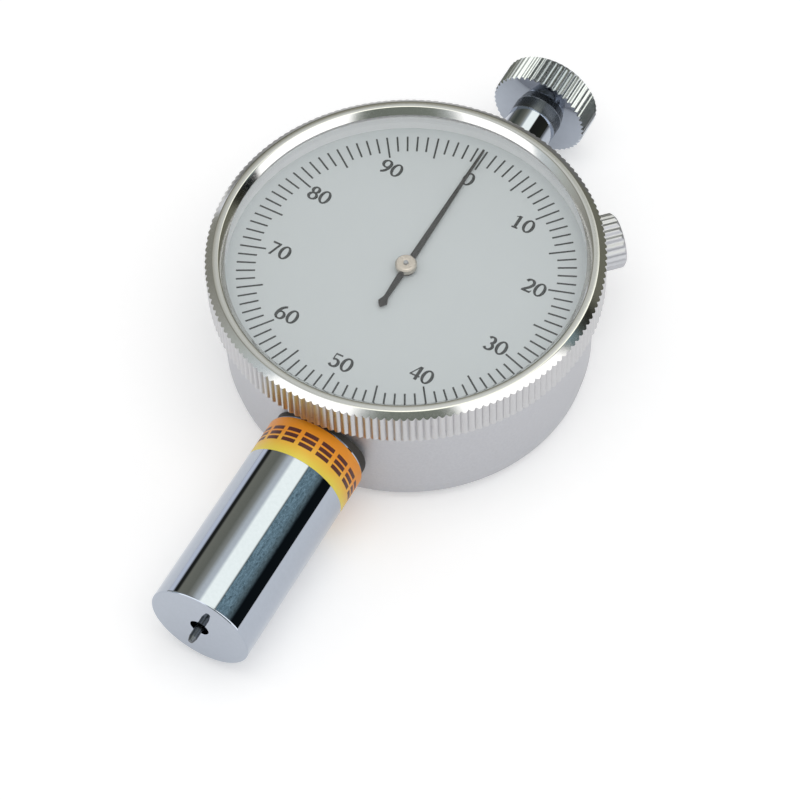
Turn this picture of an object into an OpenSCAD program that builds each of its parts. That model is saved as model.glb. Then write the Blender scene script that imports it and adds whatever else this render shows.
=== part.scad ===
// Dial durometer for rubber. A spring-loaded indenter in a round foot drives a pointer over a dial.
// It lies on its back: +Z comes out of the dial, +Y points to the knob and -Y to the foot.
// The origin is on the dial's axis, in the plane of the back. Sizes are in millimetres.

/* [Bezel and dial] */
// Diameter of the bezel over its knurl
bezel_d = 60; // [54:0.5:68]
// Teeth of the bezel's knurl
bezel_teeth = 168; // [120:4:180]
// Depth of the bezel's knurl
bezel_knurl = 0.3; // [0.2:0.05:0.6]
// Wall of the bezel inside its knurl
bezel_wall = 1.95; // [1.2:0.05:2.2]
// Height of the bezel's top above the dial's face
bezel_rise = 5; // [4:0.1:6.5]
// Depth of the bezel's skirt below the dial's face
bezel_skirt = 1.15; // [1.1:0.05:1.3]
// Width of the bezel's outer chamfer
chamfer_w = 1.12; // [0.8:0.02:1.4]
// Height of the bezel's outer chamfer
chamfer_h = 0.85; // [0.5:0.05:1.2]
// Width of the flat land on the bezel's top
land_w = 1; // [0.7:0.05:1.2]
// Width of the bevel inside the land
bevel_w = 0.88; // [0.7:0.02:1.2]
// Height of the bevel inside the land
bevel_h = 1; // [0.7:0.05:1.3]
// Thickness of the bezel's lip under the bevel
lip_t = 0.25; // [0.2:0.05:0.6]
// Thickness of the crystal
crystal_t = 1.1; // [0.8:0.1:1.4]
// Wall of the ring between the crystal and the dial
spacer_wall = 0.45; // [0.3:0.05:0.6]
// Thickness of the dial plate
dial_t = 0.55; // [0.4:0.05:0.7]
// Turn of the dial's zero from the pointer, clockwise
dial_turn = 1; // [-10:0.5:10]
// Gap between the bezel's opening and the outer end of the marks
tick_margin = 1.4; // [0.8:0.1:2]
// Length of every fifth mark
tick_long = 4; // [3.2:0.1:4.6]
// Length of the other marks
tick_short = 2.9; // [2:0.1:3.1]
// Width of a mark
tick_w = 0.28; // [0.12:0.02:0.4]
// Height of the dial's numbers
number_h = 2.5; // [1.8:0.1:2.8]
// Gap between the long marks and the middle of the numbers
number_gap = 2.1; // [1.6:0.1:2.6]
// Thickness of the print
print_t = 0.03; // [0.02:0.01:0.06]

/* [Case] */
// How far the bezel stands out past the case
bezel_overhang = 1.8; // [1.4:0.1:2.4]
// Wall of the case
case_wall = 2.2; // [2:0.1:2.6]
// Radius of the edge of the back
case_corner = 4; // [2:0.25:5]
// Thickness of the case's floor, with the cover's recess
floor_t = 3.4; // [3:0.1:4]
// Gap between the case's edge and the bezel
case_gap = 0.2; // [0.1:0.05:0.25]
// How far the seats for the barrel and the stem stand out of the wall
seat_proud = 0.7; // [0.3:0.1:1.2]
// Thickness of the wall and its inner pads at those seats
seat_wall = 4.6; // [4:0.1:5]
// Diameter of the back cover
cover_d = 44; // [40:0.5:45]
// Thickness of the back cover
cover_t = 1.6; // [1.3:0.1:2]
// Ledge that the back cover lies on
cover_ledge = 5.5; // [5:0.25:7]
// Diameter of the small screws
screw_d = 2; // [1.6:0.1:2.2]

/* [Barrel and indenter] */
// Diameter of the barrel
barrel_d = 16; // [15:0.25:18]
// Length of the barrel from its seat to the foot
barrel_len = 34; // [30:0.5:42]
// Bore of the barrel
barrel_bore = 11; // [10.5:0.25:12]
// Thickness of the foot
foot_t = 2.3; // [1.6:0.1:3]
// Hole in the foot
foot_hole_d = 3; // [2.4:0.1:3.4]
// Gap between the barrel and the plane of the back
back_gap = 1.6; // [1:0.1:2.4]
// Length of the neck inside the barrel
neck_plug = 7; // [5:0.25:9]
// Diameter of the neck in the case's wall
neck_d = 9; // [8:0.25:9.5]
// Width of the label band
label_w = 6.4; // [4:0.2:10]
// Gap between the label band and the barrel's seat
label_gap = 0.3; // [0.1:0.1:2]
// Thickness of the label band
label_t = 0.12; // [0.08:0.02:0.2]
// Depth of the turned seat under the label band
label_sunk = 0.2; // [0.16:0.01:0.3]
// Travel of the indenter over the dial's hundred marks
travel = 2.5; // [2.3:0.05:2.6]
// Diameter of the indenter
indenter_d = 1.25; // [1:0.05:1.5]
// Full angle of the indenter's cone
cone_deg = 35; // [30:1:60]
// Diameter of the flat on the cone's end
tip_d = 0.79; // [0.4:0.01:0.9]
// Diameter of the spindle
spindle_d = 3; // [2.8:0.1:3.4]
// Thickness of the spindle's flange
flange_t = 1.95; // [1.2:0.05:2.6]
// Wire of the main spring
wire_d = 0.7; // [0.5:0.05:0.9]
// Mean diameter of the main spring
spring_d = 7.4; // [6:0.1:8]
// Turns of the main spring
spring_turns = 9; // [6:0.5:12]

/* [Movement] */
// Thickness of the movement's plates
plate_t = 1.2; // [1:0.1:1.3]
// Diameter of the movement's pillars
pillar_d = 4; // [3.4:0.2:5]
// Teeth of the pinion on the rack
rack_pinion_n = 12; // [11:1:14]
// Teeth of the intermediate gear
gear_n = 60; // [50:5:65]
// Teeth of the centre pinion
centre_pinion_n = 10; // [10:1:11]
// Module of the gear and the centre pinion
gear_module = 0.25; // [0.24:0.01:0.28]
// Thickness of the intermediate gear
gear_t = 1.1; // [0.8:0.1:1.3]
// Play between the flanks of the teeth
backlash = 0.06; // [0.04:0.01:0.08]
// Diameter of the arbors
arbor_d = 2; // [1.8:0.1:2.2]
// Diameter of the arbors' pivots
pivot_d = 1; // [0.8:0.1:1.2]
// Height of the hairspring's strip
hairspring_h = 0.6; // [0.4:0.1:0.8]
// Thickness of the hairspring's strip
hairspring_t = 0.12; // [0.08:0.02:0.16]
// Turns of the hairspring
hairspring_turns = 5; // [3:1:6]

/* [Pointer] */
// Gap between the tip of the pointer and the outer end of the marks
pointer_margin = 0.35; // [0:0.05:1.5]
// Length of the pointer's tail
pointer_tail = 8.2; // [5:0.1:9]
// Thickness of the pointer
pointer_t = 0.25; // [0.15:0.05:0.4]
// Gap between the dial and the pointer
pointer_gap = 0.45; // [0.4:0.05:0.8]
// Diameter of the pointer's hub
hub_d = 3.3; // [2.8:0.1:4]
// Height of the pointer's hub
hub_h = 1.05; // [0.7:0.05:1.15]
// Chamfer on the top of the pointer's hub
hub_edge = 0.3; // [0.1:0.05:0.5]

/* [Knob and stem] */
// Diameter of the knob
knob_d = 16; // [14:0.25:18]
// Height of the knob's rim
knob_h = 5.5; // [4.5:0.1:7]
// Teeth of the knob's knurl
knob_teeth = 48; // [36:2:60]
// Depth of the knob's knurl
knob_knurl = 0.4; // [0.25:0.05:0.6]
// Diameter of the knob's hub
knob_hub_d = 8; // [7.2:0.1:9]
// Length of the knob's hub
knob_hub_h = 2.3; // [1.5:0.1:4]
// Diameter of the stem
stem_d = 8; // [7.2:0.1:8.6]
// Length of the stem between the case and the knob
stem_len = 12.7; // [10:0.1:16]
// Diameter of the stem's threaded ends
stud_d = 5; // [4.4:0.1:5.4]

/* [Clamp screw] */
// Angle of the clamp screw from the knob, clockwise
clamp_deg = 45; // [42:1:48]
// Diameter of the clamp screw's head
clamp_head_d = 8.6; // [7:0.1:9]
// Height of the clamp screw's head
clamp_head_h = 4.8; // [3:0.1:6]
// Teeth of the clamp screw's knurl
clamp_teeth = 22; // [16:1:30]
// Diameter of the clamp screw's thread
clamp_thread_d = 3; // [2.5:0.1:3.2]
// Pitch of the clamp screw's thread, which its shoe moves in one turn
clamp_pitch = 0.5; // [0.4:0.05:0.5]
// Width of the clamp shoe
shoe_w = 4.6; // [4:0.1:5]

/* [Fits] */
// Running clearance on a radius
run_gap = 0.05; // [0.03:0.01:0.08]
// Clearance of a piece that is fixed in its seat, on a radius
seat_gap = 0.03; // [0.02:0.01:0.05]

/* [Hidden] */
$fn = 64;
eps = 0.01;
steel = "#A9ABAE";
chrome = "#C9CDD2";
satin = "#B3B4B8";
brass = "#B9974E";

// Heights, from the back to the bezel's top
axis_z = back_gap + barrel_d / 2;
spindle_r = spindle_d / 2;
spindle_room = 0.8;
hairspring_room = 1.4;
gear_room = 0.9;
head_room = 2.35;
hairspring_z = axis_z + spindle_r + spindle_room;
gear_z = hairspring_z + hairspring_h + hairspring_room;
upper_plate_z = gear_z + gear_t + gear_room;
dial_z = upper_plate_z + plate_t + head_room + dial_t;
bezel_z = dial_z - bezel_skirt;
bezel_top = dial_z + bezel_rise;
case_top = bezel_z - case_gap;
lip_z = bezel_top - bevel_h - lip_t;
crystal_z = lip_z - crystal_t;
lower_plate_top = floor_t + plate_t;

// Radii, from the knurl inwards
bezel_r = bezel_d / 2;
bezel_bore_r = bezel_r - bezel_knurl - bezel_wall;
opening_r = bezel_r - chamfer_w - land_w - bevel_w;
inner_r = bezel_bore_r - seat_gap;
case_r = bezel_r - bezel_overhang;
case_bore_r = case_r - case_wall;
spigot_r = case_bore_r - run_gap;
spigot_wall = 1;
plate_room = 2.6;
plate_r = case_bore_r - plate_room;
plate_margin = 0.8;
pillar_circle_r = plate_r - pillar_d / 2 - plate_margin;
screw_r = screw_d / 2;
screw_head_r = screw_r * 1.7;
screw_head_h = screw_d * 0.55;
screw_slot_w = screw_r * 0.44;
pillar_angles = [35, 145, 215, 325];
plate_screw_angles = [12, 168, 192, 348];
plate_screw_circle_r = plate_r - screw_head_r - plate_margin / 2;
cover_r = cover_d / 2;
cover_opening_r = cover_r - cover_ledge;
cover_screw_circle_r = cover_r - cover_ledge / 2;
cover_screw_angles = [45, 135, 225, 315];
tap_floor = 0.3;
pillar_tap = 4;
screw_end = 0.1;

// The carrier that turns in the case, and the wire ring that keeps it there
carrier_flange_t = 0.5;
carrier_z = dial_z - dial_t - carrier_flange_t;
spigot_h = 2.05;
ring_wire_r = 0.4;
ring_depth = 0.95;
ring_z = case_top - ring_depth;
ring_gap_deg = 30;

// Places along the barrel and the stem
barrel_r = barrel_d / 2;
bore_r = barrel_bore / 2;
seat_y = case_r + seat_proud;
pad_y = seat_y - seat_wall;
foot_y = seat_y + barrel_len;
foot_inside_y = foot_y - foot_t;
label_y = seat_y + label_gap;
label_seat_r = barrel_r - label_sunk;
neck_r = neck_d / 2;
neck_nut_r = neck_r * 1.25;
neck_nut_t = 2.6;
thread_end = 0.8;
neck_end_y = pad_y - neck_nut_t - thread_end;
pad_rim = 0.9;
pad_under = 0.5;
neck_front_y = seat_y + neck_plug;
bush_wall = 1;
bush_r = spindle_r + bush_wall;
adjuster_t = 2.5;
adjuster_y = neck_front_y + adjuster_t;
flange_front_y = foot_inside_y - run_gap;
flange_back_y = flange_front_y - flange_t;
indenter_r = indenter_d / 2;
indenter_socket = 1.2;
stud_r = stud_d / 2;
stem_nut_r = stud_r * 1.8;
stem_nut_t = 2.4;
stud_in_y = pad_y - stem_nut_t - thread_end;
stem_top_y = seat_y + stem_len;
stud_out = 5.8;
stud_room = 0.2;
knob_y = stem_top_y + run_gap;
rim_y = knob_y + knob_hub_h;
knob_top_y = rim_y + knob_h;
knob_r = knob_d / 2;

// Gear train: the pointer makes one turn over the travel
train_ratio = gear_n / centre_pinion_n;
rack_pinion_r = travel * train_ratio / (2 * PI);
rack_module = 2 * rack_pinion_r / rack_pinion_n;
rack_pitch = PI * rack_module;
gear_r = gear_module * gear_n / 2;
centre_pinion_r = gear_module * centre_pinion_n / 2;
wheel_addendum = 0.6;
pinion_addendum = 0.9;
tooth_floor = 0.1;
rack_depth = 0.3;
rack_line = spindle_r - rack_depth;
gear_x = -(rack_line + rack_pinion_r);
gear_y = -sqrt((gear_r + centre_pinion_r) ^ 2 - gear_x ^ 2);
mesh_deg = atan2(-gear_y, -gear_x);
rack_pinion_w = 2.6;
arbor_r = arbor_d / 2;
pivot_r = pivot_d / 2;
arbor_play = 0.1;
collet_wall = 0.6;
collet_r = arbor_r + collet_wall;
collet_over = 0.2;
hairspring_reach = 4.2;
hairspring_r = collet_r + hairspring_reach;
stud_pin_r = 0.5;
stud_pin_x = hairspring_r + stud_pin_r + seat_gap;
spindle_stop = 1.5;
spindle_end_y = arbor_r + travel + spindle_stop;

// Pointer
tick_r = opening_r - tick_margin;
pointer_len = tick_r - pointer_margin;
pointer_z = dial_z + pointer_gap;
hub_r = hub_d / 2;
hub_lip = 0.15;
pointer_eye_r = hub_r - hub_lip;
hub_pin_r = 0.35;
hub_pin_out = 0.08;
hub_seat_r = arbor_r * 0.8;
hub_seat_h = hub_h * 0.4;
dial_hole_gap = 0.3;

// Clamp screw, measured outwards from the dial's axis
clamp_head_r = clamp_head_d / 2;
clamp_thread_r = clamp_thread_d / 2;
clamp_pin_r = clamp_thread_d / 3;
clamp_room = 0.25;
clamp_z = bezel_z - clamp_head_r - clamp_room;
clamp_pad_h = 0.8;
clamp_seat = case_r + clamp_pad_h;
clamp_pad_wall = 1.7;
clamp_pad_r = clamp_thread_r + clamp_pad_wall;
shoe_gap = 0.1;
shoe_t = 0.68;
shoe_face = spigot_r + run_gap;
shoe_back = shoe_face + shoe_t;
shoe_socket = shoe_face + shoe_t / 4;
shoe_low = 2.8;
shoe_high = case_top - clamp_z - shoe_gap;
slot_back = shoe_back + clamp_pitch + shoe_gap;
wall_sink = 0.5;

// Frame of the barrel and the stem: local +Z runs along +Y
module along_y(y = 0) {
    translate([0, y, axis_z]) rotate([-90, 0, 0]) children();
}

// Frame of the clamp screw: local +Z runs outwards, local -Y runs up
module at_clamp() {
    translate([0, 0, clamp_z]) rotate([0, 0, -clamp_deg]) rotate([-90, 0, 0]) children();
}

// Copies of a shape on a circle about the dial's axis
module on_circle(r, angles) {
    for (a = angles) rotate([0, 0, a]) translate([r, 0, 0]) children();
}

// Cylinder between two heights
module post(r, low, high) {
    translate([0, 0, low]) cylinder(r = r, h = high - low);
}

// Ring between two heights
module ring(r_out, r_in, low, high) {
    difference() {
        post(r_out, low, high);
        post(r_in, low - eps, high + eps);
    }
}

// Outline of a straight knurl with sharp teeth
function knurl_points(r, depth, teeth) = [
    for (i = [0 : 2 * teeth - 1])
        let (a = i * 180 / teeth, s = r - (i % 2) * depth)
        [s * cos(a), s * sin(a)]
];

// Angle of an involute at a radius, in degrees
function involute(r, base) = let (a = acos(min(1, base / r))) tan(a) * 180 / PI - a;

// Half angle of a tooth at a radius
function tooth_half(r, pitch_r, base, teeth) =
    90 / teeth - backlash / 4 / pitch_r * 180 / PI + involute(pitch_r, base) - involute(max(r, base), base);

// Outline of an involute gear with a tooth on the local X axis
function gear_points(teeth, pitch_r, tip_r, root_r) =
    let (base = pitch_r * cos(20), steps = 4, first = max(base, root_r),
        flank = concat(root_r < base ? [root_r] : [],
            [for (k = [0 : steps]) first + (tip_r - first) * k / steps]))
    [for (i = [0 : teeth - 1]) each concat(
        [for (r = flank)
            let (a = 360 * i / teeth - tooth_half(r, pitch_r, base, teeth)) [r * cos(a), r * sin(a)]],
        [for (k = [len(flank) - 1 : -1 : 0])
            let (r = flank[k], a = 360 * i / teeth + tooth_half(r, pitch_r, base, teeth))
            [r * cos(a), r * sin(a)]])];

// Small screw with its head on top of z = 0 and its shank below
module cheese_screw(length) {
    difference() {
        union() {
            post(screw_head_r, 0, screw_head_h);
            post(screw_r, -length, eps);
        }
        translate([-screw_head_r, -screw_slot_w / 2, screw_head_h / 2])
            cube([2 * screw_head_r, screw_slot_w, screw_head_h]);
    }
}

// Six-sided nut along the local Z axis
module hex_nut(corner_r, bore, thickness) {
    difference() {
        cylinder(r = corner_r, h = thickness, $fn = 6);
        post(bore, -eps, thickness + eps);
    }
}

module case() {
    slot_front = case_bore_r - 1;
    color(satin) difference() {
        union() {
            difference() {
                rotate_extrude() {
                    square([case_r - case_corner, case_top]);
                    translate([0, case_corner]) square([case_r, case_top - case_corner]);
                    translate([case_r - case_corner, case_corner]) intersection() {
                        circle(case_corner);
                        translate([0, -case_corner]) square(case_corner);
                    }
                }
                post(case_bore_r, floor_t, case_top + eps);
            }
            along_y() {
                post(barrel_r - pad_under, -seat_y, -case_bore_r);
                post(neck_nut_r + pad_rim, -case_bore_r - wall_sink, -pad_y);
                post(stem_d / 2 + pad_rim, case_bore_r, seat_y);
                post(stem_nut_r + pad_rim, pad_y, case_bore_r + wall_sink);
            }
            at_clamp() post(clamp_pad_r, case_bore_r + wall_sink, clamp_seat);
        }
        along_y() {
            post(neck_r + seat_gap, -seat_y - eps, -pad_y + eps);
            post(stud_r + seat_gap, pad_y - eps, seat_y + eps);
        }
        at_clamp() {
            post(clamp_thread_r + run_gap, slot_front, clamp_seat + eps);
            translate([-shoe_w / 2 - shoe_gap, -shoe_high - 1, slot_front])
                cube([shoe_w + 2 * shoe_gap, shoe_high + shoe_low + 1 + shoe_gap, slot_back - slot_front]);
        }
        post(cover_r + seat_gap, -eps, cover_t);
        post(cover_opening_r, cover_t - eps, floor_t + eps);
        on_circle(cover_screw_circle_r, cover_screw_angles)
            post(screw_r + seat_gap, cover_t - eps, floor_t + eps);
        on_circle(plate_screw_circle_r, plate_screw_angles)
            post(screw_r + seat_gap, cover_t + tap_floor, floor_t + eps);
        rotate_extrude() translate([case_bore_r, ring_z]) circle(ring_wire_r + seat_gap);
    }
}

module back_cover() {
    color(satin) difference() {
        post(cover_r, 0, cover_t);
        on_circle(cover_screw_circle_r, cover_screw_angles) {
            post(screw_r + seat_gap, -eps, cover_t + eps);
            translate([0, 0, -eps]) cylinder(r1 = screw_head_r + screw_end, r2 = screw_r, h = screw_r);
        }
    }
}

module back_cover_screws() {
    sunk = 0.1;
    color(steel) on_circle(cover_screw_circle_r, cover_screw_angles) difference() {
        union() {
            translate([0, 0, sunk]) cylinder(r1 = screw_head_r - sunk, r2 = screw_r, h = screw_r * 0.8);
            post(screw_r, sunk + screw_r / 2, floor_t - screw_end);
        }
        translate([-screw_head_r, -screw_slot_w / 2, 0]) cube([2 * screw_head_r, screw_slot_w, screw_r / 2]);
    }
}

module barrel() {
    edge = 0.3;
    color(chrome) along_y() rotate_extrude() polygon([
        [foot_hole_d / 2, -foot_y], [barrel_r - edge, -foot_y], [barrel_r, -foot_y + edge],
        [barrel_r, -label_y - label_w], [label_seat_r, -label_y - label_w], [label_seat_r, -seat_y],
        [bore_r, -seat_y], [bore_r, -foot_inside_y], [foot_hole_d / 2, -foot_inside_y]]);
}

module barrel_neck() {
    plug_r = bore_r - seat_gap;
    color(steel) along_y() rotate_extrude() polygon([
        [bush_r + seat_gap, -neck_front_y], [plug_r, -neck_front_y], [plug_r, -seat_y], [neck_r, -seat_y],
        [neck_r, -neck_end_y], [bush_r + seat_gap, -neck_end_y]]);
}

module barrel_lock_nut() {
    color(steel) along_y(-pad_y) hex_nut(neck_nut_r, neck_r + seat_gap, neck_nut_t);
}

module label_band() {
    inside = label_seat_r + seat_gap;
    color("#E7A022") along_y() ring(inside + label_t, inside, -label_y - label_w + seat_gap, -label_y);
}

module spring_adjuster() {
    slot_w = 1.2;
    slot_depth = 1;
    hole_r = spindle_r + bush_wall / 2;
    color(brass) along_y() difference() {
        ring(bore_r - seat_gap, hole_r, -adjuster_y, -neck_front_y);
        for (a = [0, 180]) rotate([0, 0, a])
            translate([bore_r - slot_w, -slot_w / 2, -adjuster_y - eps]) cube([bore_r, slot_w, slot_depth]);
    }
}

// Wire coil from a point list: closed end turns, open turns between them
function coil_rise(t, turns, length) =
    t < 1 ? wire_d * t
    : t > turns - 1 ? length - wire_d * (turns - t)
    : wire_d + (length - 2 * wire_d) * (t - 1) / (turns - 2);

module main_spring() {
    sides = 8;
    per_turn = 24;
    rings = round(spring_turns * per_turn);
    low = -flange_back_y + wire_d / 2 + run_gap;
    length = flange_back_y - adjuster_y - wire_d - 2 * run_gap;
    points = [for (i = [0 : rings], j = [0 : sides - 1])
        let (t = i / per_turn, a = 360 * t, b = 360 * j / sides,
            r = spring_d / 2 + wire_d / 2 * cos(b))
        [r * cos(a), r * sin(a), low + coil_rise(t, spring_turns, length) + wire_d / 2 * sin(b)]];
    walls = [for (i = [0 : rings - 1], j = [0 : sides - 1])
        let (k = (j + 1) % sides)
        [i * sides + j, i * sides + k, (i + 1) * sides + k, (i + 1) * sides + j]];
    ends = [[for (j = [sides - 1 : -1 : 0]) j], [for (j = [0 : sides - 1]) rings * sides + j]];
    color(steel) along_y() polyhedron(points, concat(walls, ends));
}

// Cut that leaves the rack's teeth on the -X side of the spindle, with a tooth at gear_y, out through its end
module rack_cut() {
    half = rack_pitch / 4 - backlash / 4;
    tip = wheel_addendum * rack_module;
    root = pinion_addendum * rack_module + tooth_floor;
    outside = spindle_r + 0.2;
    gaps_below = ceil((travel + rack_pinion_r) / rack_pitch);
    gaps_above = ceil((-gear_y - spindle_end_y) / rack_pitch);
    teeth = [for (k = [-gaps_below : gaps_above]) each
        let (y = gear_y + k * rack_pitch, at_tip = half - tip * tan(20), at_root = half + root * tan(20))
        [[-rack_line + root, y - at_root], [-rack_line - tip, y - at_tip],
            [-rack_line - tip, y + at_tip], [-rack_line + root, y + at_root]]];
    low = gear_y - (gaps_below + 0.5) * rack_pitch;
    high = gear_y + (gaps_above + 0.5) * rack_pitch;
    translate([0, 0, axis_z - outside]) linear_extrude(2 * outside) polygon(concat(
        [[-outside, low], [-rack_line + root, low]], teeth, [[-rack_line + root, high], [-outside, high]]));
}

module spindle() {
    flange_r = bore_r - run_gap;
    color(steel) difference() {
        along_y() rotate_extrude() polygon([
            [0, -flange_front_y], [flange_r, -flange_front_y], [flange_r, -flange_back_y],
            [spindle_r, -flange_back_y], [spindle_r, -spindle_end_y], [0, -spindle_end_y]]);
        along_y() post(indenter_r + seat_gap, -flange_front_y - eps,
            -flange_front_y + indenter_socket + seat_gap);
        rack_cut();
    }
}

module indenter() {
    tip_y = foot_y + travel;
    cone_h = (indenter_r - tip_d / 2) / tan(cone_deg / 2);
    color("#3A3D40") along_y() rotate_extrude() polygon([
        [0, -tip_y], [tip_d / 2, -tip_y], [indenter_r, -tip_y + cone_h],
        [indenter_r, -flange_front_y + indenter_socket], [0, -flange_front_y + indenter_socket]]);
}

module spindle_guide_bush() {
    rim = 0.8;
    color(brass) along_y() rotate_extrude() polygon([
        [spindle_r + run_gap, -neck_front_y], [bush_r, -neck_front_y], [bush_r, -neck_end_y],
        [bush_r + rim, -neck_end_y], [bush_r + rim, -neck_end_y + rim],
        [spindle_r + run_gap, -neck_end_y + rim]]);
}

module lower_plate() {
    nut_room = 0.6;
    color(brass) difference() {
        post(plate_r, floor_t, lower_plate_top);
        translate([-neck_nut_r - nut_room, -plate_r - 1, floor_t - eps])
            cube([2 * (neck_nut_r + nut_room), plate_r + 1 - pad_y + neck_nut_t + nut_room,
                plate_t + 2 * eps]);
        translate([-stem_nut_r - nut_room, stud_in_y - nut_room, floor_t - eps])
            cube([2 * (stem_nut_r + nut_room), plate_r, plate_t + 2 * eps]);
        on_circle(pillar_circle_r, pillar_angles)
            post(screw_r + seat_gap, floor_t - eps, lower_plate_top + eps);
        on_circle(plate_screw_circle_r, plate_screw_angles)
            post(screw_r + seat_gap, floor_t - eps, lower_plate_top + eps);
        post(pivot_r + run_gap, floor_t - eps, lower_plate_top + eps);
        translate([gear_x, gear_y, 0]) post(pivot_r + run_gap, floor_t - eps, lower_plate_top + eps);
    }
}

module lower_plate_screws() {
    color(steel) on_circle(plate_screw_circle_r, plate_screw_angles)
        translate([0, 0, lower_plate_top]) cheese_screw(plate_t + floor_t - cover_t - tap_floor - screw_end);
}

module plate_pillars() {
    color(brass) on_circle(pillar_circle_r, pillar_angles) difference() {
        union() {
            post(pillar_d / 2, lower_plate_top, upper_plate_z);
            post(screw_r, floor_t + screw_end, lower_plate_top + eps);
        }
        post(screw_r + seat_gap, upper_plate_z - pillar_tap, upper_plate_z + eps);
    }
}

module upper_plate() {
    top = upper_plate_z + plate_t;
    color(brass) difference() {
        post(plate_r, upper_plate_z, top);
        on_circle(pillar_circle_r, pillar_angles) post(screw_r + seat_gap, upper_plate_z - eps, top + eps);
        post(arbor_r + run_gap, upper_plate_z - eps, top + eps);
        translate([gear_x, gear_y, 0]) post(pivot_r + run_gap, upper_plate_z - eps, top + eps);
        translate([stud_pin_x, 0, 0]) post(stud_pin_r + seat_gap, upper_plate_z - eps, top + eps);
    }
}

module upper_plate_screws() {
    color(steel) on_circle(pillar_circle_r, pillar_angles)
        translate([0, 0, upper_plate_z + plate_t]) cheese_screw(plate_t + pillar_tap - tap_floor);
}

module intermediate_arbor() {
    tip = rack_pinion_r + pinion_addendum * rack_module;
    root = rack_pinion_r - wheel_addendum * rack_module - tooth_floor;
    color(steel) translate([gear_x, gear_y, 0]) {
        post(pivot_r, floor_t + arbor_play, upper_plate_z + plate_t - arbor_play);
        post(arbor_r, lower_plate_top + arbor_play, upper_plate_z - arbor_play);
        translate([0, 0, axis_z - rack_pinion_w / 2]) rotate([0, 0, 180 / rack_pinion_n])
            linear_extrude(rack_pinion_w) polygon(gear_points(rack_pinion_n, rack_pinion_r, tip, root));
    }
}

module intermediate_gear() {
    tip = gear_r + wheel_addendum * gear_module;
    root = gear_r - pinion_addendum * gear_module - tooth_floor;
    boss_r = arbor_r * 2;
    boss_h = hairspring_room / 3;
    color(brass) translate([gear_x, gear_y, 0]) difference() {
        union() {
            translate([0, 0, gear_z]) rotate([0, 0, mesh_deg + 180 / gear_n])
                linear_extrude(gear_t) polygon(gear_points(gear_n, gear_r, tip, root));
            post(boss_r, gear_z - boss_h, gear_z + eps);
        }
        post(arbor_r + seat_gap, gear_z - boss_h - eps, gear_z + gear_t + eps);
    }
}

module centre_arbor() {
    tip = centre_pinion_r + pinion_addendum * gear_module;
    root = centre_pinion_r - wheel_addendum * gear_module - tooth_floor;
    over = 0.3;
    shoulder = pointer_z - pointer_gap / 2;
    hub_z = pointer_z + pointer_t;
    color(steel) {
        post(pivot_r, floor_t + arbor_play, lower_plate_top + 1);
        post(arbor_r, lower_plate_top + arbor_play, gear_z - over);
        post(root, gear_z - over - eps, gear_z + gear_t + over);
        post(arbor_r, gear_z + gear_t + over - eps, shoulder);
        post(hub_seat_r, shoulder - eps, hub_z + hub_seat_h);
        post(hub_pin_r, pointer_z, hub_z + hub_h + hub_pin_out);
        translate([0, 0, gear_z - over]) rotate([0, 0, mesh_deg])
            linear_extrude(gear_t + 2 * over)
                polygon(gear_points(centre_pinion_n, centre_pinion_r, tip, root));
    }
}

module hairspring_collet() {
    color(brass) ring(collet_r, arbor_r + seat_gap, hairspring_z - collet_over,
        hairspring_z + hairspring_h + collet_over);
}

module hairspring() {
    per_turn = 24;
    steps = hairspring_turns * per_turn;
    start = collet_r + seat_gap;
    rise = (hairspring_r - hairspring_t - start) / steps;
    inner = [for (i = [0 : steps]) let (r = start + rise * i, a = 360 * i / per_turn)
        [r * cos(a), r * sin(a)]];
    outer = [for (i = [steps : -1 : 0])
        let (r = start + rise * i + hairspring_t, a = 360 * i / per_turn) [r * cos(a), r * sin(a)]];
    color("#5C6C86") translate([0, 0, hairspring_z]) linear_extrude(hairspring_h)
        polygon(concat(inner, outer));
}

module hairspring_stud() {
    color(brass) translate([stud_pin_x, 0, 0])
        post(stud_pin_r, hairspring_z - collet_over, upper_plate_z + plate_t - arbor_play);
}

module pointer() {
    tip_w = 0.3;
    root_w = 1;
    neck_w = 0.68;
    blob_w = 1.5;
    half = [[tip_w / 2, pointer_len], [root_w / 2, pointer_eye_r], [root_w / 2, -pointer_eye_r],
        [neck_w / 2, -pointer_tail * 0.77], [blob_w / 2, -pointer_tail * 0.9], [tip_w / 2, -pointer_tail]];
    color("#17191A") translate([0, 0, pointer_z]) difference() {
        union() {
            linear_extrude(pointer_t)
                polygon(concat(half, [for (i = [len(half) - 1 : -1 : 0]) [-half[i].x, half[i].y]]));
            post(pointer_eye_r, 0, pointer_t);
        }
        post(hub_seat_r + seat_gap, -eps, pointer_t + eps);
    }
}

module pointer_hub() {
    low = pointer_z + pointer_t;
    top = low + hub_h;
    color("#C2B59A") difference() {
        rotate_extrude()
            polygon([[0, low], [hub_r, low], [hub_r, top - hub_edge], [hub_r - hub_edge, top], [0, top]]);
        post(hub_seat_r + seat_gap, low - eps, low + hub_seat_h + seat_gap);
        post(hub_pin_r + seat_gap, low - eps, low + hub_h + 2 * eps);
    }
}

module bezel() {
    past = 0.5;
    slope = chamfer_h / chamfer_w;
    land_r = bezel_r - chamfer_w;
    color(chrome) intersection() {
        rotate_extrude() polygon([
            [bezel_bore_r, bezel_z], [bezel_r + past, bezel_z],
            [bezel_r + past, bezel_top - chamfer_h - past * slope],
            [land_r, bezel_top], [land_r - land_w, bezel_top], [opening_r, bezel_top - bevel_h],
            [opening_r, lip_z], [bezel_bore_r, lip_z]]);
        translate([0, 0, bezel_z - 1]) linear_extrude(bezel_top - bezel_z + 2)
            polygon(knurl_points(bezel_r, bezel_knurl, bezel_teeth));
    }
}

module crystal() {
    color("#DDE6E8", 0.3) post(inner_r, crystal_z, lip_z);
}

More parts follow.
